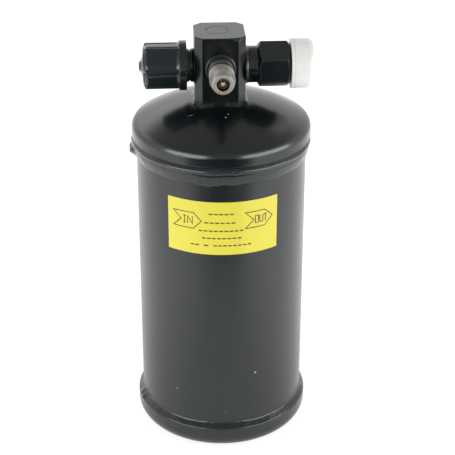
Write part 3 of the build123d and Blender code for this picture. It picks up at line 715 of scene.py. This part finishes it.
def inlet_cap():
    prof = [(14.4, 8.0), (14.4, 10.9, 0.32), (17.7, 10.9, 0.35), (17.7, 10.05, 0.22), (18.1, 9.85, 0.1),
            (31.3, 9.70, 1.0), (32.75, 9.0, 0.8), (33.5, 7.45, 0.5), (33.62, 4.9, 1.2), (34.3, 2.7, 0.5), (35.2, 1.65, 0.6), (35.2, 0.0)]
    outer = rounded(prof, 6)
    outer = refine(outer, 17.75, 31.6, 0.9)
    # closer stations where the ribs begin and end
    fine = []
    for a, b in zip(outer, outer[1:]):
        fine.append(a)
        if a[1] > 7.0 and (17.9 < a[0] < 19.2 or 30.2 < a[0] < 33.5) and b[1] > 6.9:
            steps = int(max(1, math.hypot(b[0] - a[0], b[1] - a[1]) / 0.16))
            for k in range(1, steps):
                fine.append((a[0] + (b[0] - a[0]) * k / steps, a[1] + (b[1] - a[1]) * k / steps))
    fine.append(outer[-1])
    inner = [(31.9, 0.0), (31.9, 6.5), (30.4, 8.0)]
    bore = refine([(30.4, 8.0), (14.9, 8.0)], 14.8, 30.5, PITCH_58 / 8)
    stations = fine[1:] + [(31.9, 0.0), (31.9, 6.4), (31.75, 6.6), (30.5, 7.95)] + bore[1:] + [(14.4, 8.35)]
    count = len(fine) - 1
    rib_half, rib_top = 0.95, 10.35
    rc = rib_top - rib_half

    def radial(i, s, r, a):
        if i < count and s > 17.7 and r > 6.9:
            # panels between the ribs are nearly flat
            off = (math.degrees(a) - RIB_TURN) % 60 - 30
            flat = 9.22 / math.cos(math.radians(off))
            ease = min(1.0, max(0.0, (s - 17.9) / 1.0))
            panel = smin(flat, 9.50, 0.12)
            if s > 31.0:
                # the panels round over at their free end
                t = min(s - 31.0, 1.8)
                panel -= 1.95 - math.sqrt(1.95 ** 2 - t * t)
            best = r - max(0.0, r - panel) * ease
            for k in range(6):
                d = (a - math.radians(RIB_TURN + 60 * k) + math.pi) % (2 * math.pi) - math.pi
                x = abs(d) * 9.9
                if x > 2.2:
                    continue
                tail = max(0.0, s - 31.9)
                h2 = rib_half ** 2 - x * x - tail * tail
                if h2 > 0:
                    rib = rc + math.sqrt(h2)
                else:
                    rib = rc - (math.sqrt(x * x + tail * tail) - rib_half) * 3.0
                best = smax(best, rib, 0.07)
            return min(best, 10.38), s
        if i >= count and 7.9 < r < 8.1 and s < 30.4:
            return r - thread_cut(s, a, PITCH_58, 0.62, 15.2, 29.6, inside=True), s
        return r, s
    # closer angles round each rib
    angles = []
    for k in range(6):
        c = math.radians(RIB_TURN + 60 * k)
        for d in np.concatenate([np.linspace(-30, -12, 7)[:-1], np.linspace(-12, 12, 25), np.linspace(12, 30, 7)[1:-1]]):
            angles.append(c + math.radians(float(d)))
    angles = sorted(x % (2 * math.pi) for x in angles)
    ob = turned("inlet_cap_moulded", "inlet", stations, 0, [mat_black_plastic], radial, angles=angles)
    return on_can(ob, "inlet_cap", "black_plastic", "inlet_cap")


inlet_fitting()
inlet_cap()


# ------------------------------------------------------------------ outlet side
def outlet_fitting():
    half, end_r = 18.7 / 2, 7.9
    slope = 1 / 0.57735
    s0, s1 = 16.4, 31.1
    prof = [(7.1, 3.6), (7.1, 6.5), (11.1, 6.5), (11.1, 8.05), (16.44, 8.05)]
    cone = [s0 + 0.10 + 0.12 * k for k in range(0, 16)]
    flat = list(np.linspace(cone[-1] + 0.4, s1 - (cone[-1] - s0) - 0.4, 14))
    cone2 = [s1 - (x - s0) for x in reversed(cone)]
    hexs = [(s, 10.0) for s in cone + flat + cone2]
    tail = rounded([(31.1, 7.9), (31.1, 6.8, 0.08), (31.4, 6.8, 0.1), (32.0, 7.2, 0.1), (32.4, 7.94, 0.1), (38.0, 7.94, 0.1),
                    (38.4, 7.3, 0.1), (40.0, 5.7, 0.15), (40.0, 3.6)])
    tail = refine(tail, 32.35, 38.05, PITCH_58 / 9)
    stations = prof + hexs + tail
    first, last = len(prof), len(prof) + len(hexs)

    def radial(i, s, r, a):
        if first <= i < last:
            d = (math.degrees(a) - HEX_VERTEX - 30 + 30) % 60 - 30
            hexr = half / math.cos(math.radians(d))
            ch = min(end_r + (s - s0) * slope, end_r + (s1 - s) * slope)
            rr = smin(hexr, ch, 0.22)
            corner = max(0.0, abs(d) - 26.5) / 3.5       # soften the six long edges
            rr -= 0.10 * corner * corner
            return max(rr, 7.75), s
        if r > 7.9 and s > 32.0:
            return r - thread_cut(s, a, PITCH_58, 0.78, 32.3, 38.9), s
        return r, s
    angles = []
    for k in range(6):
        c = HEX_VERTEX + 60 * k
        for d in (0, 0.7, 1.5, 2.4, 3.6, 5.5, 8, 11, 15, 20, 25, 30, 35, 40, 45, 49, 52, 54.5, 56.4, 57.6, 58.5, 59.3):
            angles.append(math.radians((c + d) % 360))
    angles = sorted(angles)
    ob = turned("outlet_fitting_turned", "outlet", stations, 0, [mat_fitting], radial, angles=angles)
    return on_can(ob, "canister", "black_paint", "outlet_fitting")


def outlet_cap():
    out = rounded([(31.2, 8.15), (31.2, 10.98, 0.15), (31.35, 11.05, 0.1), (32.1, 11.05, 0.08), (32.28, 10.75, 0.06), (32.55, 10.75, 0.06),
                   (32.72, 11.05, 0.08), (39.1, 10.95, 0.8), (40.75, 10.3, 1.0), (41.35, 8.45, 0.8), (41.62, 4.0, 2.0), (41.7, 0.0)], 6)
    out = refine(out, 32.8, 39.2, 0.8)
    stations = out + [(40.2, 0.0), (40.2, 6.4), (40.05, 6.7), (38.8, 8.0), (31.4, 8.0)]

    def radial(i, s, r, a):
        if r > 9.5 and s > 32.7:
            # faint ovality and mould ripple of a soft moulding
            r = r + 0.03 * math.cos(2 * a + 0.6) - 0.03 + 0.015 * fbm(math.cos(a) * 3, math.sin(a) * 3, s / 3, 3.0, 2)
        return r, s
    ob = turned("outlet_cap_moulded", "outlet", stations, 160, [mat_natural], radial)
    return on_can(ob, "outlet_cap", "natural_plastic", "outlet_cap")


outlet_fitting()
outlet_cap()


# ------------------------------------------------------------------ service valve
def service_valve():
    prof = rounded([(7.1, 2.1), (7.1, 5.0), (11.1, 5.0), (11.1, 6.6), (13.1, 6.6, 0.3), (13.5, 6.2, 0.15), (13.5, 5.1, 0.1),
                    (14.6, 5.1, 0.1), (15.0, 5.56, 0.1), (27.0, 5.56, 0.3), (28.6, 5.21, 0.6), (30.4, 4.95, 0.6),
                    (32.0, 4.4, 0.22), (32.0, 3.0, 0.12), (31.7, 2.82, 0.05), (23.6, 2.75), (22.4, 2.1)], 5)
    prof = refine(prof, 14.95, 28.0, PITCH_716 / 9)

    def radial(i, s, r, a):
        if r > 5.2 and 14.9 < s < 28.6:
            return r - thread_cut(s, a, PITCH_716, 0.42, 15.0, 27.6, run=1.2), s
        return r, s
    ob = turned("service_valve_turned", "valve", prof, 128, [mat_plated, mat_valve_paint, mat_bore], radial,
                mat_of=lambda s, r: 1 if (s < 20.9 and r > 4.5) else (2 if r < 2.83 else 0))
    return on_can(ob, "canister", "plated_steel", "service_valve_body")


def core_spring():
    """the valve core's spring, a coil of round wire round the pin"""
    turns, pitch, r, wire = 3.2 / 0.85, 0.85, 1.42, 0.2
    around, steps = 8, 110
    verts, faces = [], []
    for i in range(steps + 1):
        a = 2 * math.pi * turns * i / steps
        s = 24.95 + 3.2 * i / steps
        slope = pitch / (2 * math.pi * r)
        k = 1 / math.hypot(1, slope)
        for j in range(around):
            b = 2 * math.pi * j / around
            # ring across the wire: out along the radius and along the binormal
            out, bi = wire * math.cos(b), wire * math.sin(b)
            rr = r + out
            verts.append((BX + rr * math.cos(a) + bi * slope * k * math.sin(a), -(s + bi * k),
                          VALVE_Z + rr * math.sin(a) - bi * slope * k * math.cos(a)))
        if i:
            for j in range(around):
                c, d = (i - 1) * around, i * around
                faces.append((c + j, c + (j + 1) % around, d + (j + 1) % around, d + j))
    faces.append(tuple(range(around)))
    faces.append(tuple(steps * around + j for j in range(around)))
    ob = make_object("valve_core_spring_wire", verts, faces, [mat_steel_in], weighted=False)
    on_can(ob, "canister", "inner_steel", "valve_core_spring")
    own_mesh(ob)
    return ob


service_valve()
core_spring()


# ------------------------------------------------------------------ label
LABEL_MID = math.radians(-92.0)
LABEL_R = 38.25


def on_label(u, v, lift=0.0):
    a = LABEL_MID + u / LABEL_R
    r = LABEL_R + lift
    return (r * math.cos(a), r * math.sin(a), v)


def label_sheet():
    half_u, z0, z1 = math.radians(38.575) * LABEL_R, 102.4, 127.9
    inset = (0.0, 0.05, 0.25)
    us = [-half_u + x for x in inset] + list(np.linspace(-half_u + 0.6, half_u - 0.6, 90)) + [half_u - x for x in reversed(inset)]
    vs = [z0 + x for x in inset] + list(np.linspace(z0 + 0.6, z1 - 0.6, 30)) + [z1 - x for x in reversed(inset)]
    verts, top, bot = [], {}, {}
    nu, nv = len(us), len(vs)
    for i, u in enumerate(us):
        for j, v in enumerate(vs):
            edge = min(i, nu - 1 - i, j, nv - 1 - j)
            drop = {0: -0.075, 1: -0.02}.get(edge, 0.0)
            # air trapped under the film, very slight
            lift = 0.0 if edge < 3 else 0.012 * max(0.0, fbm(u / 7.0, v / 7.0, 0.0, 2.0, 2))
            top[i, j] = len(verts)
            verts.append(on_label(u, v, drop + lift - 0.012))
            bot[i, j] = len(verts)
            verts.append(on_label(u, v, -0.17))
    faces = []
    for i in range(nu - 1):
        for j in range(nv - 1):
            faces.append((top[i, j], top[i + 1, j], top[i + 1, j + 1], top[i, j + 1]))
            faces.append((bot[i, j], bot[i, j + 1], bot[i + 1, j + 1], bot[i + 1, j]))
    ring = [(i, 0) for i in range(nu)] + [(nu - 1, j) for j in range(1, nv)] + \
           [(i, nv - 1) for i in range(nu - 2, -1, -1)] + [(0, j) for j in range(nv - 2, 0, -1)]
    for a, b in zip(ring, ring[1:] + ring[:1]):
        faces.append((top[a], bot[a], bot[b], top[b]))
    ob = make_object("label_sheet", verts, faces, [mat_label], weighted=False)
    return on_can(ob, "canister", "label_film", "label")


def stroke(verts, faces, points, width, closed=False, lift=0.012):
    """a printed line on the label, as a thin closed strip"""
    pts = [np.array(p, float) for p in points]
    if closed:
        pts = pts + [pts[0]]
    # subdivide so that the strip follows the curve of the can
    dense = [pts[0]]
    for a, b in zip(pts, pts[1:]):
        n = max(1, int(abs(b[0] - a[0]) / 0.7))
        for k in range(1, n + 1):
            dense.append(a + (b - a) * k / n)
    m = len(dense)
    left, right = [], []
    for i in range(m):
        if closed and i in (0, m - 1):
            d0, d1 = dense[m - 1] - dense[m - 2], dense[1] - dense[0]
        else:
            d0 = dense[i] - dense[max(0, i - 1)]
            d1 = dense[min(m - 1, i + 1)] - dense[i]
        if np.linalg.norm(d0) < 1e-9:
            d0 = d1
        if np.linalg.norm(d1) < 1e-9:
            d1 = d0
        d0, d1 = d0 / np.linalg.norm(d0), d1 / np.linalg.norm(d1)
        n0, n1 = np.array((-d0[1], d0[0])), np.array((-d1[1], d1[0]))
        nn = n0 + n1
        nn = nn / max(1e-9, np.linalg.norm(nn))
        k = width / 2 / max(0.5, float(nn @ n0))
        left.append(dense[i] + nn * k)
        right.append(dense[i] - nn * k)
    base = len(verts)
    for l, r in zip(left, right):
        for q, h in ((l, lift), (r, lift), (r, -0.02), (l, -0.02)):
            verts.append(on_label(q[0], q[1], h))
    for i in range(m - 1):
        a, b = base + 4 * i, base + 4 * (i + 1)
        for k in range(4):
            k2 = (k + 1) % 4
            faces.append((a + k, a + k2, b + k2, b + k))
    if not closed:
        faces.append((base, base + 3, base + 2, base + 1))
        e = base + 4 * (m - 1)
        faces.append((e, e + 1, e + 2, e + 3))


def label_print():
    verts, faces = [], []
    w = 0.42
    # flow arrows
    stroke(verts, faces, [(-22.9, 122.2), (-13.1, 122.2), (-9.5, 118.5), (-13.2, 114.6), (-22.9, 114.7), (-18.9, 118.5)], w, True)
    stroke(verts, faces, [(9.7, 122.3), (19.0, 122.4), (23.0, 118.8), (19.0, 114.8), (9.9, 114.6), (13.8, 118.5)], w, True)
    # port marks, drawn with plain strokes
    h0, h1 = 116.8, 120.3
    stroke(verts, faces, [(-17.3, h0), (-17.3, h1)], w)
    for y in (h0, h1):
        stroke(verts, faces, [(-17.9, y), (-16.7, y)], w)
    stroke(verts, faces, [(-15.9, h0), (-15.9, h1), (-13.6, h0), (-13.6, h1)], w)
    stroke(verts, faces, [(14.5, h0), (15.9, h0), (15.9, h1), (14.5, h1)], w, True)
    stroke(verts, faces, [(16.6, h1), (16.6, h0 + 0.5), (17.0, h0), (17.7, h0), (18.1, h0 + 0.5), (18.1, h1)], w)
    stroke(verts, faces, [(18.6, h1), (20.3, h1)], w)
    stroke(verts, faces, [(19.45, h1), (19.45, h0)], w)
    # plain rules where the label's wording would be
    bar = 0.62
    rows = (
        (122.15, ((-6.3, 4.7),)),
        (117.95, ((-8.2, 5.4),)),
        (114.0, ((-10.8, 9.1),)),
        (110.45, ((-9.4, 8.1),)),
        (106.9, ((-14.5, -10.7), (-8.5, -6.5), (-4.3, 12.6))),
    )
    for v, spans in rows:
        for a, b in spans:
            n = max(1, int(round((b - a) / 2.25)))
            step = (b - a + 0.55) / n
            for k in range(n):
                x0 = a + k * step
                stroke(verts, faces, [(x0, v), (x0 + step - 0.55, v)], bar)
    ob = make_object("label_print", verts, faces, [mat_ink], weighted=False)
    return on_can(ob, "canister", "label_film")


label_sheet()
label_print()


# ------------------------------------------------------------------ floor, light, camera
def floor():
    n, size = 8, 6.0
    verts, faces = [], []
    for i in range(n + 1):
        for j in range(n + 1):
            verts.append((-size / 2 + size * i / n, -size / 2 + size * j / n, 0.0))
    for i in range(n):
        for j in range(n):
            a = i * (n + 1) + j
            faces.append((a, a + n + 1, a + n + 2, a + 1))
    me = bpy.data.meshes.new("floor")
    me.from_pydata(verts, [], faces)
    m = Mat("floor_paper")
    tone = m.noise(9.0, 3.0, 0.5)
    m.to("Base Color", m.mix(tone, (0.40, 0.40, 0.40), (0.43, 0.43, 0.43)))
    m.set(Roughness=0.9, IOR=1.2)
    m.bsdf.inputs["Emission Color"].default_value = (1, 1, 1, 1)
    # emission stronger in bands to both sides of the can: a painted pool of light on the floor
    side = m.math("ABSOLUTE", m.math("ADD", m.axis("X"), 0.005), 0.0)
    painted_light_pool = m.math("MULTIPLY", m.ramp(side, 0.03, 0.17), m.ramp(side, 0.55, 0.30))
    m.to("Emission Strength", m.math("ADD", m.math("MULTIPLY", painted_light_pool, 0.42), 0.80))
    me.materials.append(m.m)
    ob = bpy.data.objects.new("floor", me)
    scene.collection.objects.link(ob)
    ob.location.z = -0.00005
    return ob


floor()


def flag(name, corners, fade=None):
    """a black flag in front of the set, hidden from the camera"""
    me = bpy.data.meshes.new(name)
    me.from_pydata(corners, [], [(0, 1, 2, 3)])
    mt = bpy.data.materials.new(name)
    mt.use_nodes = True
    t = mt.node_tree
    t.nodes.clear()
    o = t.nodes.new("ShaderNodeOutputMaterial")
    d = t.nodes.new("ShaderNodeBsdfDiffuse")
    d.inputs[0].default_value = (0.02, 0.02, 0.02, 1)
    if fade:
        tr = t.nodes.new("ShaderNodeBsdfTransparent")
        mx = t.nodes.new("ShaderNodeMixShader")
        tc = t.nodes.new("ShaderNodeTexCoord")
        sp = t.nodes.new("ShaderNodeSeparateXYZ")
        mr = t.nodes.new("ShaderNodeMapRange")
        mr.interpolation_type = "SMOOTHSTEP"
        mr.inputs["From Min"].default_value = fade[0]
        mr.inputs["From Max"].default_value = fade[1]
        t.links.new(tc.outputs["Object"], sp.inputs[0])
        t.links.new(sp.outputs["Y"], mr.inputs["Value"])
        t.links.new(mr.outputs[0], mx.inputs[0])
        t.links.new(tr.outputs[0], mx.inputs[1])
        t.links.new(d.outputs[0], mx.inputs[2])
        t.links.new(mx.outputs[0], o.inputs[0])
    else:
        t.links.new(d.outputs[0], o.inputs[0])
    me.materials.append(mt)
    ob = bpy.data.objects.new(name, me)
    scene.collection.objects.link(ob)
    ob.visible_camera = False
    ob.visible_shadow = False
    return ob


flag("flag_floor", [(-0.45, -1.6, 0.002), (0.35, -1.6, 0.002), (0.20, -0.20, 0.002), (-0.30, -0.20, 0.002)], fade=(-0.215, -0.27))

# ---- light rig begin
def studio():
    """a pale tent: dim overhead and straight in front, brighter low down behind and to the left"""
    world = bpy.data.worlds.new("studio")
    scene.world = world
    world.use_nodes = True
    t = world.node_tree
    bg = t.nodes["Background"]
    bg.inputs[0].default_value = (1.0, 1.0, 1.0, 1)
    sp = t.nodes.new("ShaderNodeSeparateXYZ")
    t.links.new(t.nodes.new("ShaderNodeTexCoord").outputs["Generated"], sp.inputs[0])

    def ramp(src, lo, hi, a, b):
        n = t.nodes.new("ShaderNodeMapRange")
        n.interpolation_type = "SMOOTHSTEP"
        for key, v in (("From Min", lo), ("From Max", hi), ("To Min", a), ("To Max", b)):
            n.inputs[key].default_value = v
        t.links.new(src, n.inputs["Value"])
        return n.outputs["Result"]

    def calc(op, a, b):
        n = t.nodes.new("ShaderNodeMath")
        n.operation = op
        for i, v in enumerate((a, b)):
            if isinstance(v, float):
                n.inputs[i].default_value = v
            else:
                t.links.new(v, n.inputs[i])
        return n.outputs[0]

    x, y, z = sp.outputs["X"], sp.outputs["Y"], sp.outputs["Z"]
    low = ramp(y, -0.93, -0.55, 0.5, 1.1)
    back_left = calc("MULTIPLY", ramp(x, 0.25, -0.35, 0.0, 1.0), ramp(y, 0.15, 0.55, 0.0, 0.9))
    back_left = calc("MULTIPLY", back_left, ramp(z, 0.20, 0.46, 0.0, 1.0))
    low = calc("ADD", low, back_left)
    fall = ramp(z, 0.44, 0.70, 1.0, 0.0)
    t.links.new(calc("ADD", calc("MULTIPLY", low, fall), calc("MULTIPLY", calc("SUBTRACT", 1.0, fall), 0.44)), bg.inputs[1])


studio()


def softbox(name, location, target, size, power, size_y=None):
    ld = bpy.data.lights.new(name, "AREA")
    ld.shape = "RECTANGLE"
    ld.size = size
    ld.size_y = size_y or size
    ld.energy = power
    ob = bpy.data.objects.new(name, ld)
    scene.collection.objects.link(ob)
    ob.location = location
    ob.rotation_mode = "QUATERNION"
    ob.rotation_quaternion = (Vector(target) - Vector(location)).to_track_quat("-Z", "Y")
    ob.visible_camera = False
    return ob


def strip(name, azimuth, spread, top, distance, radiance):
    """an upright softbox standing on the floor; azimuth from straight in front, to the right positive"""
    a = math.radians(azimuth)
    width = 2 * distance * math.tan(math.radians(spread / 2))
    height = top - 0.01
    at = (distance * math.sin(a), -distance * math.cos(a), 0.01 + height / 2)
    return softbox(name, at, (0, 0, at[2]), width, math.pi * width * height * radiance, height)


# each strip is two lamps in one place: a bright one for reflections, a softer one for matt surfaces
for side, azimuth, spread, shine, soft in (("left", -46.0, 52.0, 5.2, 2.7), ("right", 54.0, 64.0, 5.0, 2.6)):
    strip("strip_" + side + "_gloss", azimuth, spread, 0.42, 0.75, shine).visible_diffuse = False
    strip("strip_" + side + "_matt", azimuth, spread, 0.42, 0.75, soft).visible_glossy = False
# ---- light rig end

cam_data = bpy.data.cameras.new("camera")
cam_data.sensor_width = 36.0
cam_data.lens = 109.52
cam_data.clip_start, cam_data.clip_end = 0.02, 30.0
cam = bpy.data.objects.new("camera", cam_data)
scene.collection.objects.link(cam)
scene.camera = cam
fwd = Vector((0.053094, 0.889467, -0.45390)).normalized()
right = fwd.cross(Vector((0, 0, 1))).normalized()
up = right.cross(fwd).normalized()
roll = math.radians(0.0947)
r2 = math.cos(roll) * right + math.sin(roll) * up
u2 = -math.sin(roll) * right + math.cos(roll) * up
rot = Matrix((r2, u2, -fwd)).transposed()
cam.rotation_mode = "QUATERNION"
cam.rotation_quaternion = rot.to_quaternion()
cam.location = (-0.031307, -0.57264, 0.38861)
